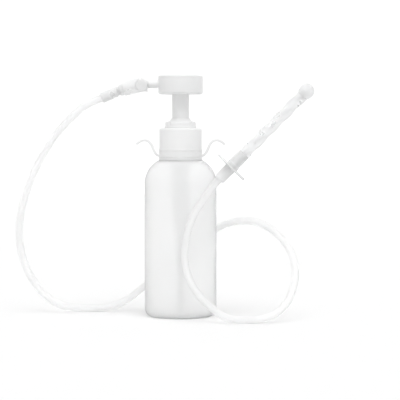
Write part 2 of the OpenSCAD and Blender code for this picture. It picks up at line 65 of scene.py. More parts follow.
# Heights and radii of the frame's own nodes, in millimetres
BOTTLE_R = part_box("bottle_wall")[1].x / MM
BASE_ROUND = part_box("bottle_wall")[0].z / MM
SHOULDER_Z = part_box("bottle_wall")[1].z / MM
LAND_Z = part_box("bottle_neck")[0].z / MM
RIM_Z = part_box("bottle_neck")[1].z / MM
RING_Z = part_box("hook_ring")[0].z / MM
CAP_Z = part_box("screw_cap")[0].z / MM
CAP_TOP_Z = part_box("screw_cap")[1].z / MM
COLLAR_TOP_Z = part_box("pump_collar")[1].z / MM
STEM_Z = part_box("stem")[0].z / MM
STEM_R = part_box("stem")[1].x / MM
HEAD_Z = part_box("head_shell")[0].z / MM
HEAD_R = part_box("head_shell")[1].x / MM
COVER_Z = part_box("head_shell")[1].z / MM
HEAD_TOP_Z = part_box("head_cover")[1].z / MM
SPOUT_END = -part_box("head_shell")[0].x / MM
SPOUT_Z = HEAD_Z + 8.6
SPOUT_R = 3.5

# Hose valve: the hub's middle, the barrel and the hose's tail
HUB_FLATS = 10.2
HUB_X = -(SPOUT_END + 0.1 + HUB_FLATS / 2)
KEY_Z = SPOUT_Z - 1.2
BARREL_L = 19.6
BARREL_DROP = 16.5
TAIL_DROP = 23


def falling(drop):
    """The way to the left that falls at an angle in degrees."""
    return Vector((-cos(radians(drop)), 0, -sin(radians(drop))))


BARREL_END = Vector((HUB_X, 0, SPOUT_Z)) + BARREL_L * falling(BARREL_DROP)
TAIL_WAY = falling(TAIL_DROP)
SLEEVE_START = 2.4
SLEEVE_END = 16

# Nozzle: places along its axis count from the middle of the disc
NOZZLE_LEAN = 44.8
DISC_AT = Vector((41.2, -35, 125.6))
NOZZLE_WAY = Vector((sin(radians(NOZZLE_LEAN)), 0, cos(radians(NOZZLE_LEAN))))
DISC_HALF = 0.8
CUFF_START = -14.2
CUFF_END = -2.8
SHAFT_START = 15.4
SHAFT_END = 81.4


def new_object(name, data):
    """An object in the scene for a mesh, a curve, a camera or a lamp."""
    made = bpy.data.objects.new(name, data)
    bpy.context.scene.collection.objects.link(made)
    return made


# Camera: a long lens at the height of the screw cap
SENSOR_WIDTH = 36
IMAGE_SIDE = 400
FOCAL_PIXELS = 1600
HORIZON_ROW = 140
AXIS_COLUMN = 180.6
CAMERA_DISTANCE = 1.340
EYE_HEIGHT = 0.1478

camera_data = bpy.data.cameras.new("camera")
camera_data.sensor_fit = "HORIZONTAL"
camera_data.sensor_width = SENSOR_WIDTH
camera_data.lens = SENSOR_WIDTH * FOCAL_PIXELS / IMAGE_SIDE
camera_data.clip_start = 0.05
camera_data.clip_end = 50
camera = new_object("camera", camera_data)
camera.location = (0, -CAMERA_DISTANCE, EYE_HEIGHT)
down = atan2(IMAGE_SIDE / 2 - HORIZON_ROW, FOCAL_PIXELS)
right = atan2(IMAGE_SIDE / 2 - AXIS_COLUMN, FOCAL_PIXELS)
camera.rotation_euler = (pi / 2 - down, 0, -right)
bpy.context.scene.camera = camera


# Materials

def new_material(name):
    """A material with its Principled shader, its nodes and its links."""
    material = bpy.data.materials.new(name)
    material.use_nodes = True
    nodes = material.node_tree.nodes
    return material, nodes["Principled BSDF"], nodes, material.node_tree.links


def noise(nodes, links, scale, detail=3):
    """A noise texture on Object coordinates."""
    coordinates = nodes.new("ShaderNodeTexCoord")
    texture = nodes.new("ShaderNodeTexNoise")
    texture.inputs["Scale"].default_value = scale
    texture.inputs["Detail"].default_value = detail
    links.new(coordinates.outputs["Object"], texture.inputs["Vector"])
    return texture


def vary(nodes, links, factor, low, high, socket):
    """Spreads a 0 to 1 factor between two values of a socket."""
    spread = nodes.new("ShaderNodeMapRange")
    spread.inputs["To Min"].default_value = low
    spread.inputs["To Max"].default_value = high
    links.new(factor, spread.inputs["Value"])
    links.new(spread.outputs["Result"], socket)


def tint(nodes, links, factor, first, second, socket):
    """Colours a surface between two near shades."""
    ramp = nodes.new("ShaderNodeValToRGB")
    ramp.color_ramp.elements[0].position = 0.3
    ramp.color_ramp.elements[0].color = (*first, 1)
    ramp.color_ramp.elements[1].position = 0.7
    ramp.color_ramp.elements[1].color = (*second, 1)
    links.new(factor, ramp.inputs["Fac"])
    links.new(ramp.outputs["Color"], socket)


def grain(nodes, links, shader, scale, height, strength):
    """Fine bumps of a moulded surface."""
    texture = noise(nodes, links, scale)
    bump = nodes.new("ShaderNodeBump")
    bump.inputs["Strength"].default_value = strength
    bump.inputs["Distance"].default_value = height
    links.new(texture.outputs["Fac"], bump.inputs["Height"])
    links.new(bump.outputs["Normal"], shader.inputs["Normal"])


def white_plastic():
    """Satin injection-moulded plastic of the head, stem, collar, cap and ring."""
    material, shader, nodes, links = new_material("white_moulded_plastic")
    flow = noise(nodes, links, 45)
    tint(nodes, links, flow.outputs["Fac"], (0.825, 0.828, 0.828), (0.85, 0.851, 0.849),
         shader.inputs["Base Color"])
    vary(nodes, links, flow.outputs["Fac"], 0.34, 0.46, shader.inputs["Roughness"])
    shader.inputs["IOR"].default_value = 1.48
    shader.inputs["Subsurface Weight"].default_value = 0.15
    shader.inputs["Subsurface Radius"].default_value = (1, 1, 1)
    shader.inputs["Subsurface Scale"].default_value = 0.0015
    grain(nodes, links, shader, 2500, 0.00003, 0.25)
    return material


def frosted_plastic():
    """Blown milky wall of the bottle, which lets the pump show as a soft shadow."""
    material, shader, nodes, links = new_material("frosted_bottle_plastic")
    cloud = noise(nodes, links, 25)
    tint(nodes, links, cloud.outputs["Fac"], (0.99, 0.992, 0.992), (1, 1, 1),
         shader.inputs["Base Color"])
    vary(nodes, links, cloud.outputs["Fac"], 0.55, 0.62, shader.inputs["Roughness"])
    shader.inputs["IOR"].default_value = 1.1
    shader.inputs["Transmission Weight"].default_value = 0.72
    grain(nodes, links, shader, 1400, 0.00004, 0.3)
    return material


def milky_neck():
    """The same blown plastic where it is thick, at the bottle's neck."""
    material, shader, nodes, links = new_material("thick_neck_plastic")
    cloud = noise(nodes, links, 40)
    tint(nodes, links, cloud.outputs["Fac"], (0.86, 0.865, 0.865), (0.89, 0.89, 0.89),
         shader.inputs["Base Color"])
    vary(nodes, links, cloud.outputs["Fac"], 0.4, 0.5, shader.inputs["Roughness"])
    shader.inputs["Transmission Weight"].default_value = 0.15
    grain(nodes, links, shader, 1400, 0.00004, 0.3)
    return material


def natural_plastic():
    """Uncoloured plastic of the pump's inner pieces."""
    material, shader, nodes, links = new_material("natural_pump_plastic")
    cloud = noise(nodes, links, 60)
    tint(nodes, links, cloud.outputs["Fac"], (0.84, 0.85, 0.85), (0.90, 0.90, 0.90),
         shader.inputs["Base Color"])
    vary(nodes, links, cloud.outputs["Fac"], 0.3, 0.42, shader.inputs["Roughness"])
    shader.inputs["Transmission Weight"].default_value = 0.15
    grain(nodes, links, shader, 1800, 0.00003, 0.25)
    return material


def clear_plastic(name, shade, roughness, index, clearness):
    """Clear moulded plastic of the hose valve and of the nozzle."""
    material, shader, nodes, links = new_material(name)
    flow = noise(nodes, links, 90)
    tint(nodes, links, flow.outputs["Fac"], shade, tuple(min(1, c + 0.02) for c in shade),
         shader.inputs["Base Color"])
    vary(nodes, links, flow.outputs["Fac"], roughness, roughness + 0.06, shader.inputs["Roughness"])
    shader.inputs["IOR"].default_value = index
    shader.inputs["Transmission Weight"].default_value = clearness
    grain(nodes, links, shader, 400, 0.00002, 0.1)
    return material


def milky_tube():
    """Soft milky plastic of the hose."""
    material, shader, nodes, links = new_material("milky_hose_plastic")
    cloud = noise(nodes, links, 35)
    tint(nodes, links, cloud.outputs["Fac"], (0.985, 0.987, 0.987), (0.998, 0.998, 0.998),
         shader.inputs["Base Color"])
    vary(nodes, links, cloud.outputs["Fac"], 0.4, 0.5, shader.inputs["Roughness"])
    shader.inputs["IOR"].default_value = 1.1
    shader.inputs["Transmission Weight"].default_value = 0.75
    grain(nodes, links, shader, 300, 0.00002, 0.1)
    return material


def seal_rubber():
    """Grey rubber of the seals and the gasket."""
    material, shader, nodes, links = new_material("grey_seal_rubber")
    dust = noise(nodes, links, 300)
    tint(nodes, links, dust.outputs["Fac"], (0.42, 0.43, 0.44), (0.5, 0.5, 0.51),
         shader.inputs["Base Color"])
    vary(nodes, links, dust.outputs["Fac"], 0.6, 0.75, shader.inputs["Roughness"])
    grain(nodes, links, shader, 2000, 0.00005, 0.4)
    return material


def spring_steel():
    """Bright drawn steel of the spring and the balls."""
    material, shader, nodes, links = new_material("bright_spring_steel")
    lines = noise(nodes, links, 1200, 2)
    tint(nodes, links, lines.outputs["Fac"], (0.6, 0.61, 0.62), (0.7, 0.7, 0.71),
         shader.inputs["Base Color"])
    vary(nodes, links, lines.outputs["Fac"], 0.18, 0.3, shader.inputs["Roughness"])
    shader.inputs["Metallic"].default_value = 1
    return material


WHITE = white_plastic()
FROSTED = frosted_plastic()
NECK = milky_neck()
NATURAL = natural_plastic()
CLEAR = clear_plastic("clear_valve_plastic", (0.975, 0.978, 0.978), 0.25, 1.2, 0.35)
NOZZLE = clear_plastic("clear_nozzle_plastic", (0.965, 0.968, 0.97), 0.25, 1.15, 0.5)
GRIP = clear_plastic("nozzle_base_plastic", (0.92, 0.925, 0.926), 0.2, 1.2, 0.35)
CUFF = clear_plastic("pale_cuff_plastic", (0.975, 0.978, 0.978), 0.4, 1.1, 0.2)
DISC = clear_plastic("stop_disc_plastic", (0.95, 0.955, 0.955), 0.2, 1.25, 0.3)
MILKY = milky_tube()
SEAL = seal_rubber()
STEEL = spring_steel()

FINISHES = {
    "white_plastic": WHITE, "frosted_plastic": FROSTED, "natural_plastic": NATURAL,
    "clear_plastic": CLEAR, "milky_tube": MILKY, "grey_seal": SEAL, "steel": STEEL,
}


# Shapes

def arc(centre, r, start, end, steps):
    """Points of a round stretch of an outline, angles in degrees."""
    turn = (end - start) / steps
    angles = [radians(start + turn * i) for i in range(steps + 1)]
    return [(centre[0] + r * cos(a), centre[1] + r * sin(a)) for a in angles]


def fillet(before, corner, after, r, steps=4):
    """Points that round a corner of an outline with radius r."""
    a, b, c = Vector(before), Vector(corner), Vector(after)
    u, v = (a - b).normalized(), (c - b).normalized()
    half = acos(max(-1, min(1, u.dot(v)))) / 2
    middle = b + (u + v).normalized() * r / sin(half)
    start = b + u * r / tan(half) - middle
    end = b + v * r / tan(half) - middle
    sweep = start.angle_signed(end)
    return [tuple(middle + Matrix.Rotation(-sweep * i / steps, 2) @ start) for i in range(steps + 1)]


def rounded(outline, closed):
    """An outline of (r, z) or (r, z, rounding radius) corners as plain points."""
    points = []
    last = len(outline) - 1
    for i, corner in enumerate(outline):
        inner = closed or 0 < i < last
        if len(corner) == 3 and inner:
            points += fillet(outline[i - 1][:2], corner[:2], outline[(i + 1) % (last + 1)][:2], corner[2])
        else:
            points.append(tuple(corner[:2]))
    return points


def spin_outline(bm, outline, closed=True, steps=96):
    """Turns an outline in millimetres once round the Z axis."""
    verts = [bm.verts.new((r * MM, 0, z * MM)) for r, z in rounded(outline, closed)]
    ends = verts[1:] + verts[:1] if closed else verts[1:]
    edges = [bm.edges.new(pair) for pair in zip(verts, ends)]
    bmesh.ops.spin(bm, geom=verts + edges, cent=(0, 0, 0), axis=(0, 0, 1), dvec=(0, 0, 0),
                   angle=2 * pi, steps=steps, use_merge=True)
    bmesh.ops.remove_doubles(bm, verts=bm.verts, dist=1e-7)
    return bm


def place_along(way, start):
    """A matrix that puts +Z along a way, from a start in millimetres."""
    turn = Vector((0, 0, 1)).rotation_difference(way).to_matrix().to_4x4()
    return Matrix.Translation(Vector(start) * MM) @ turn


def smooth_mesh(mesh, angle=35):
    """Smooth faces, with edges sharper than the angle kept crisp."""
    mesh.shade_smooth()
    mesh.set_sharp_from_angle(angle=radians(angle))


def mesh_of(name, bm):
    """A mesh with a bmesh's shape, which frees the bmesh."""
    mesh = bpy.data.meshes.new(name)
    bm.to_mesh(mesh)
    bm.free()
    return mesh


def pour_in(bm, other):
    """Adds another bmesh's shape to a bmesh, and frees it."""
    mesh = mesh_of("part", other)
    bm.from_mesh(mesh)
    bpy.data.meshes.remove(mesh)


def soften(bm, edges, offset, segments):
    """Rounds edges off, by an offset in millimetres."""
    bmesh.ops.bevel(bm, geom=edges, offset=offset * MM, segments=segments, profile=0.5,
                    affect="EDGES", material=-1)


def pull_out(bm, faces, way):
    """Pulls faces out into a solid, along a way in millimetres."""
    grown = bmesh.ops.extrude_face_region(bm, geom=faces)["geom"]
    verts = [v for v in grown if isinstance(v, bmesh.types.BMVert)]
    bmesh.ops.translate(bm, vec=Vector(way) * MM, verts=verts)


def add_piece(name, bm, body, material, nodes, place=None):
    """Closes a bmesh into a piece that stands for CAD nodes and rides on a body, if one is given."""
    if place is not None:
        bmesh.ops.transform(bm, matrix=place, verts=bm.verts)
    bmesh.ops.recalc_face_normals(bm, faces=bm.faces)
    mesh = mesh_of(name, bm)
    smooth_mesh(mesh)
    mesh.materials.append(material)
    piece = new_object(name, mesh)
    if body:
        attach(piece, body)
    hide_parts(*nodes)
    return piece


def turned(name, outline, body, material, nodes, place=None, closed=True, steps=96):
    """A piece of one outline turned round an axis."""
    bm = spin_outline(bmesh.new(), outline, closed, steps)
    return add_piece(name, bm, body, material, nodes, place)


def change_shape(piece, tool_bm, operation):
    """Joins a temporary solid to a piece, or cuts it out."""
    bmesh.ops.recalc_face_normals(tool_bm, faces=tool_bm.faces)
    tool_mesh = mesh_of("tool", tool_bm)
    tool = new_object("tool", tool_mesh)
    change = piece.modifiers.new("change", "BOOLEAN")
    change.operation = operation
    change.object = tool
    change.solver = "MANIFOLD"
    bpy.context.view_layer.update()
    graph = bpy.context.evaluated_depsgraph_get()
    result = bpy.data.meshes.new_from_object(piece.evaluated_get(graph))
    piece.modifiers.clear()
    old = piece.data
    piece.data = result
    result.name = piece.name
    bpy.data.meshes.remove(old)
    bpy.data.objects.remove(tool)
    bpy.data.meshes.remove(tool_mesh)
    smooth_mesh(piece.data)


# Hose

def between(a, b, c, d, t):
    """Point of a smooth curve between b and c."""
    return (2 * b + (c - a) * t + (2 * a - 5 * b + 4 * c - d) * t * t
            + (3 * b - a - 3 * c + d) * t * t * t) / 2


def smooth_route(points, steps):
    """A route with more points, on a smooth curve through the given ones."""
    last = len(points) - 1
    route = [between(points[max(0, i - 1)], points[i], points[i + 1], points[min(last, i + 2)], k / steps)
             for i in range(last) for k in range(steps)]
    return route + [points[last]]


HOSE_R = 3
HOSE_BORE_R = 2
HOSE_EXIT = BARREL_END + SLEEVE_END * TAIL_WAY
HOSE_STOP = DISC_AT + CUFF_START * NOZZLE_WAY
HOSE_ROUTE = [
    (-82, 1, 175), (-96, 4, 162), (-110, 8, 145), (-123, 12, 122), (-132, 16, 99),
    (-137, 20, 76), (-136, 23, 54), (-129, 26, 33), (-117, 28, 16), (-101, 30, 6),
    (-82, 32, 3.3), (-63, 35, 4), (-47, 38, 9.5), (-32, 40, 21), (-17, 41, 35),
    (0, 41, 50), (17, 38, 63), (31, 31, 72), (46, 22, 78), (60, 12, 79), (73, 1, 75),
    (84, -11, 66), (92, -22, 53), (94, -32, 37), (89, -42, 20), (79, -50, 9),
    (66, -56, 3.9), (52, -58, 3.3), (39, -57, 4.4), (27, -54, 10.5), (16, -50, 21),
    (7, -46, 35), (3, -42, 54), (6, -39, 74), (13, -37, 91),
]
HOSE_STEPS = 5
STRAIGHT_OUT = 4
STRAIGHT_IN = 6


def make_hose():
    """The hose: a hollow tube from inside the sleeve to inside the nozzle's cuff."""
    free = [HOSE_EXIT + STRAIGHT_OUT * TAIL_WAY] + [Vector(p) for p in HOSE_ROUTE]
    free += [HOSE_STOP - STRAIGHT_IN * NOZZLE_WAY]
    route = [BARREL_END + SLEEVE_START * TAIL_WAY, HOSE_EXIT] + smooth_route(free, HOSE_STEPS)
    route += [HOSE_STOP, DISC_AT + CUFF_END * NOZZLE_WAY]
    route = [p * MM for p in route]
    curve = bpy.data.curves.new("hose_line", "CURVE")
    curve.dimensions = "3D"
    curve.bevel_depth = HOSE_R * MM
    curve.bevel_resolution = 6
    line = curve.splines.new("POLY")
    line.points.add(len(route) - 1)
    for point, place in zip(line.points, route):
        point.co = (*place, 1)
    helper = new_object("hose_line", curve)
    bpy.context.view_layer.update()
    mesh = bpy.data.meshes.new_from_object(helper)
    bpy.data.objects.remove(helper)
    bm = bmesh.new()
    bm.from_mesh(mesh)
    bpy.data.meshes.remove(mesh)
    bmesh.ops.recalc_face_normals(bm, faces=bm.faces)
    bmesh.ops.solidify(bm, geom=bm.faces[:], thickness=(HOSE_R - HOSE_BORE_R) * MM)
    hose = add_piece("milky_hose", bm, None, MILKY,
                     ["hose", "hose_top_end", "hose_low_end"])
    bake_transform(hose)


make_hose()


# Bottle

WALL = 1.2
NECK_R = 13.5
NECK_BORE_R = 12
BEAD_R = 17.9
SHOULDER_ROUND = 22
FOOT_R = BOTTLE_R - BASE_ROUND


def shoulder(inset, top_z):
    """Rounded shoulder from the straight side up to a height."""
    r = SHOULDER_ROUND - inset
    centre = (BOTTLE_R - SHOULDER_ROUND, SHOULDER_Z)
    return arc(centre, r, 0, degrees(asin((top_z - SHOULDER_Z) / r)), 24)


PITCH = 3.2
THREAD_DEPTH = 1.4
THREAD_SUNK = 0.3
ROOT_HALF = 0.95
CREST_HALF = 0.55


def thread_ridge(bm, r, depth, z, turns):
    """A screw thread on a wall of radius r, with ends that fade away."""
    per_turn = 48
    steps = round(turns * per_turn)
    fade = per_turn // 8
    section = [(r - THREAD_SUNK, -ROOT_HALF), (r + depth, -CREST_HALF), (r + depth, CREST_HALF),
               (r - THREAD_SUNK, ROOT_HALF)]
    first = len(bm.verts)
    verts = [bm.verts.new((x * MM, 0, (z + up) * MM)) for x, up in section]
    edges = [bm.edges.new((verts[i], verts[(i + 1) % 4])) for i in range(4)]
    bmesh.ops.spin(bm, geom=verts + edges, cent=(0, 0, 0), axis=(0, 0, 1),
                   dvec=(0, 0, PITCH / per_turn * MM), angle=turns * 2 * pi, steps=steps)
    bm.verts.ensure_lookup_table()
    ring = bm.verts[first:]
    for vert in ring:
        out = Vector((vert.co.x, vert.co.y, 0))
        turn = (vert.co.z / MM - z) / PITCH * per_turn
        shown = max(0, min(1, turn / fade, (steps - turn) / fade))
        if out.length > r * MM:
            vert.co -= out.normalized() * (depth + 0.1) * (1 - shown) * MM
    rim = [e for e in bm.edges if e.is_boundary and e.verts[0] in set(ring)]
    bmesh.ops.holes_fill(bm, edges=rim, sides=4)


def make_bottle():
    """Blown bottle with a hollow foot, a round shoulder and a threaded neck."""
    floor_z = 2.4
    hollow_r = 17
    foot_ring_r = 19
    inner_round = BASE_ROUND - WALL
    floor_turn = -degrees(asin((BASE_ROUND - floor_z) / inner_round))
    outline = [(0, WALL), (hollow_r, WALL, 0.5), (foot_ring_r, 0, 0.5), (FOOT_R - 0.1, 0)]
    outline += arc((FOOT_R, BASE_ROUND), BASE_ROUND, -90, 0, 12)
    outline += shoulder(0, LAND_Z)
    outline += [(NECK_BORE_R, LAND_Z), (NECK_BORE_R, LAND_Z - WALL, 0.5)]
    outline += shoulder(WALL, LAND_Z - WALL)[::-1]
    outline += arc((FOOT_R, BASE_ROUND), inner_round, 0, floor_turn, 10)
    outline += [(0, floor_z)]
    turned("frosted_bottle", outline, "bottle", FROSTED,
           ["bottle_base", "bottle_wall", "bottle_shoulder"], closed=False, steps=128)


def make_neck():
    """Bead that carries the hook ring, and the threaded neck above it."""
    foot_z = LAND_Z + 0.02
    outline = [(NECK_BORE_R, foot_z), (BEAD_R, foot_z, 0.1), (BEAD_R, RING_Z, 0.4), (NECK_R, RING_Z, 0.3),
               (NECK_R, RIM_Z, 0.4), (NECK_BORE_R, RIM_Z, 0.4)]
    bm = spin_outline(bmesh.new(), outline, steps=128)
    thread_ridge(bm, NECK_R, THREAD_DEPTH, RIM_Z - 9.6, 1.6)
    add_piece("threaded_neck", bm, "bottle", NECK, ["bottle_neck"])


make_bottle()
make_neck()


# Hook ring

HOOK_LINE = [
    (16.4, 1.1), (18.4, 1.2), (20.6, 2.6), (22.6, 6), (24.4, 10.2), (27, 13.1),
    (30.6, 14.2), (34.2, 12.9), (37, 10.6),
]
HOOK_THICK = 2
HOOK_WIDE = 6
HOOK_BEND_X = 30


def hook_arm():
    """One flat S-shaped arm with rounded edges and a round tip, on the right side."""
    line = smooth_route([Vector((x, 0, RING_Z + up)) for x, up in HOOK_LINE], 6)
    last = len(line) - 1
    ways = [(line[min(i + 1, last)] - line[max(i - 1, 0)]).normalized() for i in range(last + 1)]
    front = Vector((0, -HOOK_WIDE / 2, 0))
    bm = bmesh.new()
    chains = []
    for side in (0.5, -0.5):
        skin = [p + front + side * HOOK_THICK * Vector((-way.z, 0, way.x)) for p, way in zip(line, ways)]
        verts = [bm.verts.new(p * MM) for p in skin]
        chains += [bm.edges.new(pair) for pair in zip(verts, verts[1:])]
    strip = bmesh.ops.bridge_loops(bm, edges=chains)["faces"]
    pull_out(bm, strip, (0, HOOK_WIDE, 0))
    bmesh.ops.recalc_face_normals(bm, faces=bm.faces)
    tip = [e for e in bm.edges if e.calc_length() > 0.9 * HOOK_WIDE * MM and e.calc_face_angle(0) > 1
           and max(v.co.x for v in e.verts) > HOOK_BEND_X * MM]
    soften(bm, tip, 0.8, 4)
    rims = [e for e in bm.edges if e.calc_face_angle(0) > 0.9 and e.calc_length() < 0.5 * HOOK_WIDE * MM]
    soften(bm, rims, 0.4, 3)
    return bm


def make_hook_ring():
    """Loose ring with a hook arm to each side."""
    band_in_r = NECK_R + 1.7
    ring_top = CAP_Z - 0.05
    band = [(band_in_r, RING_Z, 0.2), (BEAD_R, RING_Z, 0.15), (BEAD_R, ring_top, 0.15),
            (band_in_r, ring_top, 0.4)]
    bm = spin_outline(bmesh.new(), band, steps=128)
    for turn in (0, 180):
        arm = hook_arm()
        about = Matrix.Rotation(radians(turn), 3, "Z")
        bmesh.ops.rotate(arm, cent=(0, 0, 0), matrix=about, verts=arm.verts)
        pour_in(bm, arm)
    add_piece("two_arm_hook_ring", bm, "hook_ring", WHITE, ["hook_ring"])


make_hook_ring()


# Cap and collar

def make_cap():
    """Smooth screw cap with a soft top edge and a fine bead round its foot."""
    side_r = 17.75
    bead_r = 18
    bead_z = CAP_Z + 1.7
    hole_r = 10.3
    bore_r = 15.4
    under_z = CAP_TOP_Z - 1.8
    outline = [(hole_r, CAP_TOP_Z, 0.3), (hole_r, under_z, 0.2), (bore_r, under_z, 0.5),
               (bore_r, CAP_Z, 0.3), (bead_r, CAP_Z, 0.1), (bead_r, bead_z, 0.25),
               (side_r, bead_z + 0.25, 0.1), (side_r, CAP_TOP_Z, 1.6)]
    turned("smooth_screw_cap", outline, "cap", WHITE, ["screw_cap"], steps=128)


FLAT_TURN = 217
FLAT_AT = STEM_R - 0.45


def keyed_circle(bm, r, flat, z):
    """A closed loop of edges round the axis with one flat side, in millimetres."""
    around = 144
    verts = []
    for i in range(around):
        turn = radians(FLAT_TURN + 360 * i / around)
        facing = cos(turn - radians(FLAT_TURN))
        reach = min(r, flat / facing) if facing > 0.01 else r
        verts.append(bm.verts.new((reach * cos(turn) * MM, reach * sin(turn) * MM, z * MM)))
    return [bm.edges.new((verts[i], verts[(i + 1) % around])) for i in range(around)]


def keyed_bar(r, flat, low, high):
    """A round bar with one flat side."""
    bm = bmesh.new()
    floor = bmesh.ops.edgeloop_fill(bm, edges=keyed_circle(bm, r, flat, low))["faces"]
    pull_out(bm, floor, (0, 0, high - low))
    return bm


def make_collar():
    """Stepped collar that locks the pump, with four small turning recesses and a keyed hole."""
    r = 13.2
    z = CAP_TOP_Z
    skirt = 4.2
    recess_r = 1.6
    recess_z = z + 2
    recess_l = 10
    outline = [(10, z), (r, z, 0.2), (r, z + 1.4, 0.25), (r - 0.4, z + 1.8, 0.15), (r - 0.4, z + 4.6, 0.3),
               (r - 1, z + 5.3, 0.3), (r - 3, z + 5.6, 0.5), (r - 4.3, z + 6.4, 0.4),
               (r - 5.1, COLLAR_TOP_Z - 0.6, 0.3), (r - 5.4, COLLAR_TOP_Z, 0.15), (6, COLLAR_TOP_Z),
               (6, z + skirt), (10, z + skirt)]
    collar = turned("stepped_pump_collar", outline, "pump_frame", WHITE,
                    ["pump_collar"], steps=128)
    recesses = bmesh.new()
    for turn in range(45, 360, 90):
        way = Matrix.Rotation(radians(turn), 4, "Z") @ Vector(((r + 0.4) * MM, 0, 0))
        place = Matrix.Translation(way + Vector((0, 0, (recess_z + recess_l / 2) * MM)))
        bmesh.ops.create_cone(recesses, cap_ends=True, segments=32, radius1=recess_r * MM,
                              radius2=recess_r * MM, depth=recess_l * MM, matrix=place)
    change_shape(collar, recesses, "DIFFERENCE")
    hole = keyed_bar(STEM_R + 0.1, FLAT_AT + 0.1, z, COLLAR_TOP_Z + 2)
    change_shape(collar, hole, "DIFFERENCE")


make_cap()
make_collar()


# Pump head and stem

PORT_R = 1.3
SPOUT_LINE = place_along(Vector((-1, 0, 0)), (0, 0, SPOUT_Z))


def make_stem():
    """Hollow stem with a long flat towards the front left, which keeps the head from turning."""
    bm = bmesh.new()
    bore_r = 5.6
    loops = keyed_circle(bm, STEM_R, FLAT_AT, STEM_Z) + keyed_circle(bm, bore_r, STEM_R, STEM_Z)
    floor = bmesh.ops.bridge_loops(bm, edges=loops)["faces"]
    pull_out(bm, floor, (0, 0, HEAD_Z - STEM_Z))
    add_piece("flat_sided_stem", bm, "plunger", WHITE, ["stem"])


HEAD_WALL = 1.8


def make_head():
    """Shallow drum with a soft lower edge, its boss and its spout."""
    boss_top = COVER_Z - 0.8
    boss_r = 5.5
    rod_bore_r = 3.2
    inner_r = HEAD_R - HEAD_WALL
    floor_z = HEAD_Z + HEAD_WALL
    outline = [(rod_bore_r, HEAD_Z), (HEAD_R, HEAD_Z, 1.8), (HEAD_R, COVER_Z), (inner_r, COVER_Z),
               (inner_r, floor_z, 0.6), (boss_r, floor_z, 0.4), (boss_r, boss_top, 0.4),
               (rod_bore_r, boss_top, 0.2)]
    bm = spin_outline(bmesh.new(), outline, steps=128)
    spout = bmesh.new()
    root = 4.5
    socket_r = 2.3
    tube = [(PORT_R, root), (SPOUT_R, root), (SPOUT_R, SPOUT_END, 0.5), (socket_r, SPOUT_END, 0.2),
            (socket_r, HEAD_R), (PORT_R, HEAD_R)]
    spin_outline(spout, tube, steps=64)
    bmesh.ops.transform(spout, matrix=SPOUT_LINE, verts=spout.verts)
    pour_in(bm, spout)
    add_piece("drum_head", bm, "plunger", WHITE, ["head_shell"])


def make_cover():
    """Slightly crowned disc that closes the drum, with a lip inside it."""
    lip_r = HEAD_R - HEAD_WALL - 0.05
    lip_in_r = lip_r - 1.2
    lip_z = SPOUT_Z + SPOUT_R + 0.1
    crown = 0.8
    cover = [(HEAD_R * i / 8, HEAD_TOP_Z + crown * (1 - (i / 8) ** 2)) for i in range(8)]
    cover += [(HEAD_R, HEAD_TOP_Z, 0.9), (HEAD_R, COVER_Z, 0.08), (lip_r, COVER_Z), (lip_r, lip_z, 0.3),
              (lip_in_r, lip_z, 0.3), (lip_in_r, COVER_Z, 0.3), (0, COVER_Z)]
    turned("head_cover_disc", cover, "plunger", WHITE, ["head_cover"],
           closed=False, steps=128)


make_stem()
make_head()
make_cover()


# Hose valve

KEY_WAY = Vector((0, -1, 0))
HUB_AT = Vector((HUB_X, 0, KEY_Z))
KEY_R = 2.9
HUB_HALF = 4.4
KEY_FRONT = 7.2
KNOB_FLATS = HUB_FLATS - 0.6
BARB_R = 2.4
BARB_PLUG = 6
RIB_R = 3.8
RIB_ROOT_R = 3.2
HOSE_STUD_R = 1.95


def octagon_bar(flats, low, high, softness):
    """An eight-sided bar along the valve key's axis, with soft edges."""
    bm = bmesh.new()
    r = flats / 2 / cos(pi / 8) * MM
    turn = Matrix.Rotation(pi / 8, 4, "Z")
    lift = Matrix.Translation((0, 0, (low + high) / 2 * MM))
    bmesh.ops.create_cone(bm, cap_ends=True, segments=8, radius1=r, radius2=r,
                          depth=(high - low) * MM, matrix=lift @ turn)
    soften(bm, bm.edges[:], softness, 3)
    bmesh.ops.transform(bm, matrix=KEY_LINE, verts=bm.verts)
    return bm


def round_bar(r, low, high, place, steps=64):
    """A closed round bar, placed along an axis."""
    bm = spin_outline(bmesh.new(), [(0, low), (r, low), (r, high), (0, high)], False, steps)
    bmesh.ops.transform(bm, matrix=place, verts=bm.verts)
    return bm


def soft_box(low, high, softness):
    """A box between two corners in millimetres, with soft edges."""
    bm = bmesh.new()
    bmesh.ops.create_cube(bm, size=1)
    size = [(b - a) * MM for a, b in zip(low, high)]
    middle = [(a + b) / 2 * MM for a, b in zip(low, high)]
    bmesh.ops.scale(bm, vec=size, verts=bm.verts)
    bmesh.ops.translate(bm, vec=middle, verts=bm.verts)
    soften(bm, bm.edges[:], softness, 2)
    return bm


BARREL_LINE = place_along(falling(BARREL_DROP), (HUB_X, 0, SPOUT_Z))
TAIL_LINE = place_along(TAIL_WAY, BARREL_END)
KEY_LINE = place_along(KEY_WAY, HUB_AT)


def barrel():
    """Tapered round barrel of the valve, with soft ends."""
    r = 5.7
    wide_r = 6.3
    end_r = 4.4
    start = 1.2
    outline = [(0, start), (r, start, 0.2), (wide_r, 2, 0.4), (wide_r, 7, 1), (r, BARREL_L - 3.8, 0.4),
               (r - 0.8, BARREL_L - 3, 0.4), (end_r, BARREL_L, 0.3), (0, BARREL_L)]
    bm = spin_outline(bmesh.new(), outline, False, 96)
    bmesh.ops.transform(bm, matrix=BARREL_LINE, verts=bm.verts)
    return bm


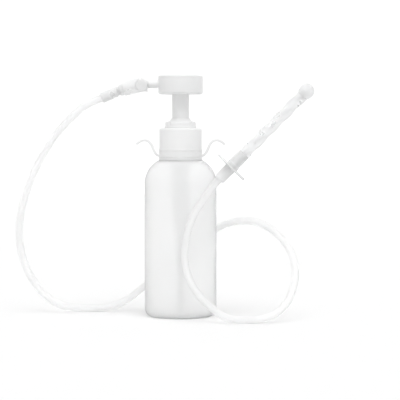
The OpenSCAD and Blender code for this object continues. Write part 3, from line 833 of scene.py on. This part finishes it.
def make_valve_body():
    """Clear hose connector: eight-sided hub, stop plate, plug for the spout and round barrel."""
    hub = octagon_bar(HUB_FLATS, -HUB_HALF, HUB_HALF, 0.3)
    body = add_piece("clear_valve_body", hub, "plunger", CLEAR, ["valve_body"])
    side = HUB_X + HUB_FLATS / 2
    foot = KEY_Z - HUB_FLATS / 2
    deep = HUB_HALF - 0.2
    plate = soft_box((side - 2.2, -deep, foot - 0.3), (side - 0.3, deep, foot + 4.8), 0.25)
    change_shape(body, plate, "UNION")
    plug_r = 2.25
    change_shape(body, round_bar(plug_r, SPOUT_END - 7, SPOUT_END + 3, SPOUT_LINE), "UNION")
    change_shape(body, barrel(), "UNION")
    room_r = KNOB_FLATS / 2 / cos(pi / 8) + 0.4
    past = 9
    for r, low, high in ((KEY_R + 0.05, -past, past), (room_r, HUB_HALF, past), (room_r, -past, -HUB_HALF)):
        change_shape(body, round_bar(r, low, high, KEY_LINE), "DIFFERENCE")
    change_shape(body, round_bar(PORT_R, SPOUT_END - 9, SPOUT_END + 5, SPOUT_LINE, 32), "DIFFERENCE")
    change_shape(body, round_bar(PORT_R, 2, BARREL_L, BARREL_LINE, 32), "DIFFERENCE")
    change_shape(body, round_bar(BARB_R, -BARB_PLUG, BARB_PLUG, TAIL_LINE, 48), "DIFFERENCE")


def make_valve_key():
    """Eight-sided knob with a pointer on top, on the pin that opens and shuts the valve."""
    key = add_piece("eight_sided_valve_key", octagon_bar(KNOB_FLATS, HUB_HALF + 0.3, KEY_FRONT, 0.35),
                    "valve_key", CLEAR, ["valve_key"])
    pointer = soft_box((HUB_X - 1, -KEY_FRONT, KEY_Z + 3), (HUB_X + 1, -HUB_HALF - 0.3, KEY_Z + 6.6), 0.3)
    change_shape(key, pointer, "UNION")
    change_shape(key, round_bar(KEY_R, -6.4, 5.2, KEY_LINE), "UNION")
    port = round_bar(PORT_R, SPOUT_END, SPOUT_END + 11, SPOUT_LINE, 32)
    change_shape(key, port, "DIFFERENCE")


def make_key_cap():
    """Ring that keeps the valve key in its bore."""
    low = -6
    high = -4.55
    ring = [(KEY_R, low, 0.1), (KEY_R + 1, low, 0.3), (KEY_R + 1, high, 0.3), (KEY_R, high, 0.1)]
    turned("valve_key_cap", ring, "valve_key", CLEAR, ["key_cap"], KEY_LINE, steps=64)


def make_barb():
    """Ribbed barb between the barrel and the hose."""
    barb = [(PORT_R, -BARB_PLUG), (BARB_R, -BARB_PLUG, 0.15), (BARB_R, 0.4)]
    for z in (0.4, 1.4):
        barb += [(RIB_R, z, 0.15), (RIB_R, z + 0.6, 0.15), (RIB_ROOT_R, z + 0.6, 0.1),
                 (RIB_ROOT_R, z + 1, 0.1)]
    barb += [(HOSE_STUD_R, SLEEVE_START, 0.1), (HOSE_STUD_R, SLEEVE_END - 1, 0.3),
             (PORT_R, SLEEVE_END - 1)]
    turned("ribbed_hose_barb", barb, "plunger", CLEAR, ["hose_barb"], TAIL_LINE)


def make_sleeve():
    """Sleeve that clamps the hose on the barb."""
    r = 4.3
    sleeve = [(HOSE_R, SLEEVE_START), (r - 0.4, SLEEVE_START, 0.15), (r, SLEEVE_START + 0.6, 0.3),
              (r, SLEEVE_END - 0.5, 0.2), (r - 0.3, SLEEVE_END, 0.15), (HOSE_R, SLEEVE_END)]
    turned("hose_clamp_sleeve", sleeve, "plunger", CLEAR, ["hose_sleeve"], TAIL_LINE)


make_valve_body()
make_valve_key()
make_key_cap()
make_barb()
make_sleeve()


# Nozzle

NOZZLE_LINE = place_along(NOZZLE_WAY, DISC_AT)
BORE_R = 1.4
PLUG_R = 3.4
CUFF_R = 4.7
STUD_R = 2.9
STUD_HOLE_R = 2.95
SHAFT_R = 4.4
PORT_HOLE_R = 0.6


def make_cuff():
    """Cuff that holds the hose's far end."""
    cuff = [(HOSE_R, CUFF_START), (4, CUFF_START, 0.2), (4.5, CUFF_START + 1.2, 0.6),
            (CUFF_R, CUFF_END, 0.15), (HOSE_R, CUFF_END)]
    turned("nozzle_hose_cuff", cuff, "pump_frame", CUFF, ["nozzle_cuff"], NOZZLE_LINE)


def make_fitting():
    """Barbed fitting with a stud for the nozzle and a groove for its seal."""
    tail = CUFF_START + 1
    groove_r = 2.3
    groove_z = 4.8
    top = 7.8
    fitting = [(PORT_R, tail), (HOSE_STUD_R, tail, 0.2), (HOSE_STUD_R, CUFF_END), (CUFF_R, CUFF_END, 0.1),
               (CUFF_R, -DISC_HALF, 0.1), (STUD_R, -DISC_HALF), (STUD_R, groove_z), (groove_r, groove_z),
               (groove_r, groove_z + 1), (STUD_R, groove_z + 1), (STUD_R, top, 0.3), (PORT_R, top)]
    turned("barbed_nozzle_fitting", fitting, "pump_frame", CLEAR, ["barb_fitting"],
           NOZZLE_LINE, steps=64)


def make_disc():
    """Thin stop disc."""
    r = 14.6
    disc = [(STUD_HOLE_R, -DISC_HALF, 0.1), (r, -DISC_HALF, 0.5), (r, DISC_HALF, 0.5),
            (STUD_HOLE_R, DISC_HALF, 0.1)]
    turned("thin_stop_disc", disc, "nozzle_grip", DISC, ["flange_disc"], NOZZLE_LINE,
           steps=128)


def make_base():
    """Smooth base of the nozzle, which holds the shaft."""
    r = 5.3
    socket_r = PLUG_R + 0.05
    base = [(STUD_HOLE_R, DISC_HALF), (r, DISC_HALF, 0.2), (r, 3.2, 0.3), (r - 0.4, 3.8, 0.4),
            (r - 0.5, SHAFT_START - 1, 0.4), (SHAFT_R, SHAFT_START, 0.2), (socket_r, SHAFT_START),
            (socket_r, 9.2), (BORE_R, 9.2), (BORE_R, 8), (STUD_HOLE_R, 8)]
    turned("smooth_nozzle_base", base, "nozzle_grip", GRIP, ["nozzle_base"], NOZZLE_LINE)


def twisted_bar():
    """Solid bar with three soft ridges that wind round it."""
    ridges = 3
    ridge = 0.5
    twist_length = 48
    length = SHAFT_END - SHAFT_START
    steps = 120
    bm = bmesh.new()
    floor = bmesh.ops.create_circle(bm, cap_ends=True, segments=60, radius=MM)["verts"]
    for vert in floor:
        turn = atan2(vert.co.y, vert.co.x)
        reach = SHAFT_R + ridge * cos(ridges * turn)
        vert.co = (reach * cos(turn) * MM, reach * sin(turn) * MM, SHAFT_START * MM)
    spun = bmesh.ops.spin(bm, geom=floor + bm.edges[:], cent=(0, 0, 0), axis=(0, 0, 1), steps=steps,
                          dvec=(0, 0, length / steps * MM), angle=2 * pi * length / twist_length)
    rim = [e for e in spun["geom_last"] if isinstance(e, bmesh.types.BMEdge)]
    bmesh.ops.edgeloop_fill(bm, edges=rim)
    return bm


def make_shaft():
    """Twisted hollow shaft with a plug at each end and four small side holes."""
    plug = 6
    side_holes = 4
    hole_l = 7
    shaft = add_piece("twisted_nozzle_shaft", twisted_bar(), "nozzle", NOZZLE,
                      ["nozzle_shaft"], NOZZLE_LINE)
    change_shape(shaft, round_bar(PLUG_R, SHAFT_START - plug, SHAFT_START + 1, NOZZLE_LINE), "UNION")
    change_shape(shaft, round_bar(PLUG_R, SHAFT_END - 1, SHAFT_END + plug - 1, NOZZLE_LINE), "UNION")
    change_shape(shaft, round_bar(BORE_R, SHAFT_START - plug - 1, SHAFT_END + plug, NOZZLE_LINE, 48),
                 "DIFFERENCE")
    holes = bmesh.new()
    for i in range(side_holes):
        turn = Matrix.Rotation(radians(70 * i), 4, "Z") @ Matrix.Rotation(pi / 2, 4, "X")
        place = Matrix.Translation((0, 0, (SHAFT_START + 12 + 15 * i) * MM)) @ turn
        place = NOZZLE_LINE @ place @ Matrix.Translation((0, 0, hole_l / 2 * MM))
        bmesh.ops.create_cone(holes, cap_ends=True, segments=20, radius1=PORT_HOLE_R * MM,
                              radius2=PORT_HOLE_R * MM, depth=hole_l * MM, matrix=place)
    change_shape(shaft, holes, "DIFFERENCE")


def make_tip():
    """Bulb at the tip with one middle port and five round it."""
    bulb_r = 6
    middle = 6.4
    top = 11.8
    z = SHAFT_END
    socket_r = PLUG_R + 0.02
    jet_r = 0.7
    ports = 5
    port_l = 8
    outline = [(socket_r, z), (SHAFT_R, z, 0.1), (bulb_r - 0.5, z + 3, 0.5), (bulb_r, z + 4.6, 0.5)]
    outline += arc((0, z + middle), bulb_r, 0, degrees(asin((top - middle) / bulb_r)), 12)
    outline += [(jet_r, z + top), (jet_r, z + 8.4), (BORE_R, z + 8.4), (BORE_R, z + 5.2),
                (socket_r, z + 5.2)]
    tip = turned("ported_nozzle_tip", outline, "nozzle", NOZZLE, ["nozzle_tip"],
                 NOZZLE_LINE)
    for i in range(ports):
        turn = Matrix.Rotation(2 * pi * i / ports, 4, "Z") @ Matrix.Rotation(radians(50), 4, "Y")
        place = Matrix.Translation((0, 0, (z + 7.8) * MM)) @ turn
        place = NOZZLE_LINE @ place @ Matrix.Translation((0, 0, port_l / 2 * MM))
        port = bmesh.new()
        bmesh.ops.create_cone(port, cap_ends=True, segments=20, radius1=PORT_HOLE_R * MM,
                              radius2=PORT_HOLE_R * MM, depth=port_l * MM, matrix=place)
        change_shape(tip, port, "DIFFERENCE")


make_cuff()
make_fitting()
make_disc()
make_base()
make_shaft()
make_tip()


# Return spring

SPRING_WIRE_R = 0.5
SPRING_TURNS = 8


def make_spring():
    """Return spring, a helix of round wire that fills the CAD spring's place."""
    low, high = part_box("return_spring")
    steps = SPRING_TURNS * 24
    rise = high.z - low.z - 2 * SPRING_WIRE_R * MM
    start = Vector((high.x - SPRING_WIRE_R * MM, 0, low.z + SPRING_WIRE_R * MM))
    bm = bmesh.new()
    place = Matrix.Translation(start) @ Matrix.Rotation(pi / 2, 4, "X")
    bmesh.ops.create_circle(bm, segments=12, radius=SPRING_WIRE_R * MM, matrix=place)
    bmesh.ops.spin(bm, geom=bm.verts[:] + bm.edges[:], cent=(0, 0, 0), axis=(0, 0, 1),
                   dvec=(0, 0, rise / steps), angle=2 * pi * SPRING_TURNS, steps=steps)
    bmesh.ops.holes_fill(bm, edges=[e for e in bm.edges if e.is_boundary])
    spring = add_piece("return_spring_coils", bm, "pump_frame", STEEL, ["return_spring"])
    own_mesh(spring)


make_spring()


# Nodes that keep their CAD shape take a finish by their slot

def dress_nodes():
    """Gives every CAD node the finish of its slot."""
    for part in frame["record"]["subparts"]:
        node = frame["nodes"][part["node"]]
        node.data.materials.clear()
        node.data.materials.append(FINISHES[part["material_slot"]])


dress_nodes()


# Studio

FILL_LEVEL = 0.69
SUN_LEVEL = 1.54
SUN_WAY = (-0.05, 0.5, -1)
SUN_SPREAD = 50
SHEET_SHADE = 0.8
FLOOR_GLOW = 0.085
BACKDROP_GLOW = 0.26
BACKDROP_Y = 3
STUDIO_HALF = 6
UPRIGHT = Matrix.Translation((0, BACKDROP_Y, 0)) @ Matrix.Rotation(pi / 2, 4, "X")


def ray_switch(nodes, links, off, on):
    """A value that is on for camera, glossy and transmission rays and off for the rest."""
    path = nodes.new("ShaderNodeLightPath")
    total = path.outputs["Is Camera Ray"]
    for kind in ("Is Glossy Ray", "Is Transmission Ray"):
        larger = nodes.new("ShaderNodeMath")
        larger.operation = "MAXIMUM"
        links.new(total, larger.inputs[0])
        links.new(path.outputs[kind], larger.inputs[1])
        total = larger.outputs["Value"]
    spread = nodes.new("ShaderNodeMapRange")
    spread.inputs["To Min"].default_value = off
    spread.inputs["To Max"].default_value = on
    links.new(total, spread.inputs["Value"])
    return spread.outputs["Result"]


def make_world():
    """White surroundings that light the object at a lower level than they show."""
    world = bpy.data.worlds.new("studio")
    world.use_nodes = True
    bpy.context.scene.world = world
    nodes, links = world.node_tree.nodes, world.node_tree.links
    background = nodes["Background"]
    background.inputs["Color"].default_value = (1, 1, 1, 1)
    links.new(ray_switch(nodes, links, FILL_LEVEL, 1), background.inputs["Strength"])


def white_sheet(name, glow, place):
    """A large flat white sheet, which shows a little brighter than it lights the object."""
    bm = bmesh.new()
    bmesh.ops.create_grid(bm, x_segments=1, y_segments=1, size=STUDIO_HALF, matrix=place)
    mesh = mesh_of(name, bm)
    material, shader, nodes, links = new_material("white_" + name)
    shader.inputs["Base Color"].default_value = (SHEET_SHADE, SHEET_SHADE, SHEET_SHADE, 1)
    shader.inputs["Roughness"].default_value = 0.9
    shader.inputs["Specular IOR Level"].default_value = 0
    shader.inputs["Emission Color"].default_value = (1, 1, 1, 1)
    links.new(ray_switch(nodes, links, 0, glow), shader.inputs["Emission Strength"])
    mesh.materials.append(material)
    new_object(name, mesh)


def add_sun():
    """One broad key light from high up, a little to the right and in front."""
    data = bpy.data.lights.new("key", "SUN")
    data.energy = SUN_LEVEL
    data.angle = radians(SUN_SPREAD)
    new_object("key", data).rotation_euler = Vector(SUN_WAY).to_track_quat("-Z", "Y").to_euler()


make_world()
white_sheet("floor", FLOOR_GLOW, Matrix.Identity(4))
white_sheet("backdrop", BACKDROP_GLOW, UPRIGHT)
add_sun()

bpy.context.scene.view_settings.view_transform = "Standard"
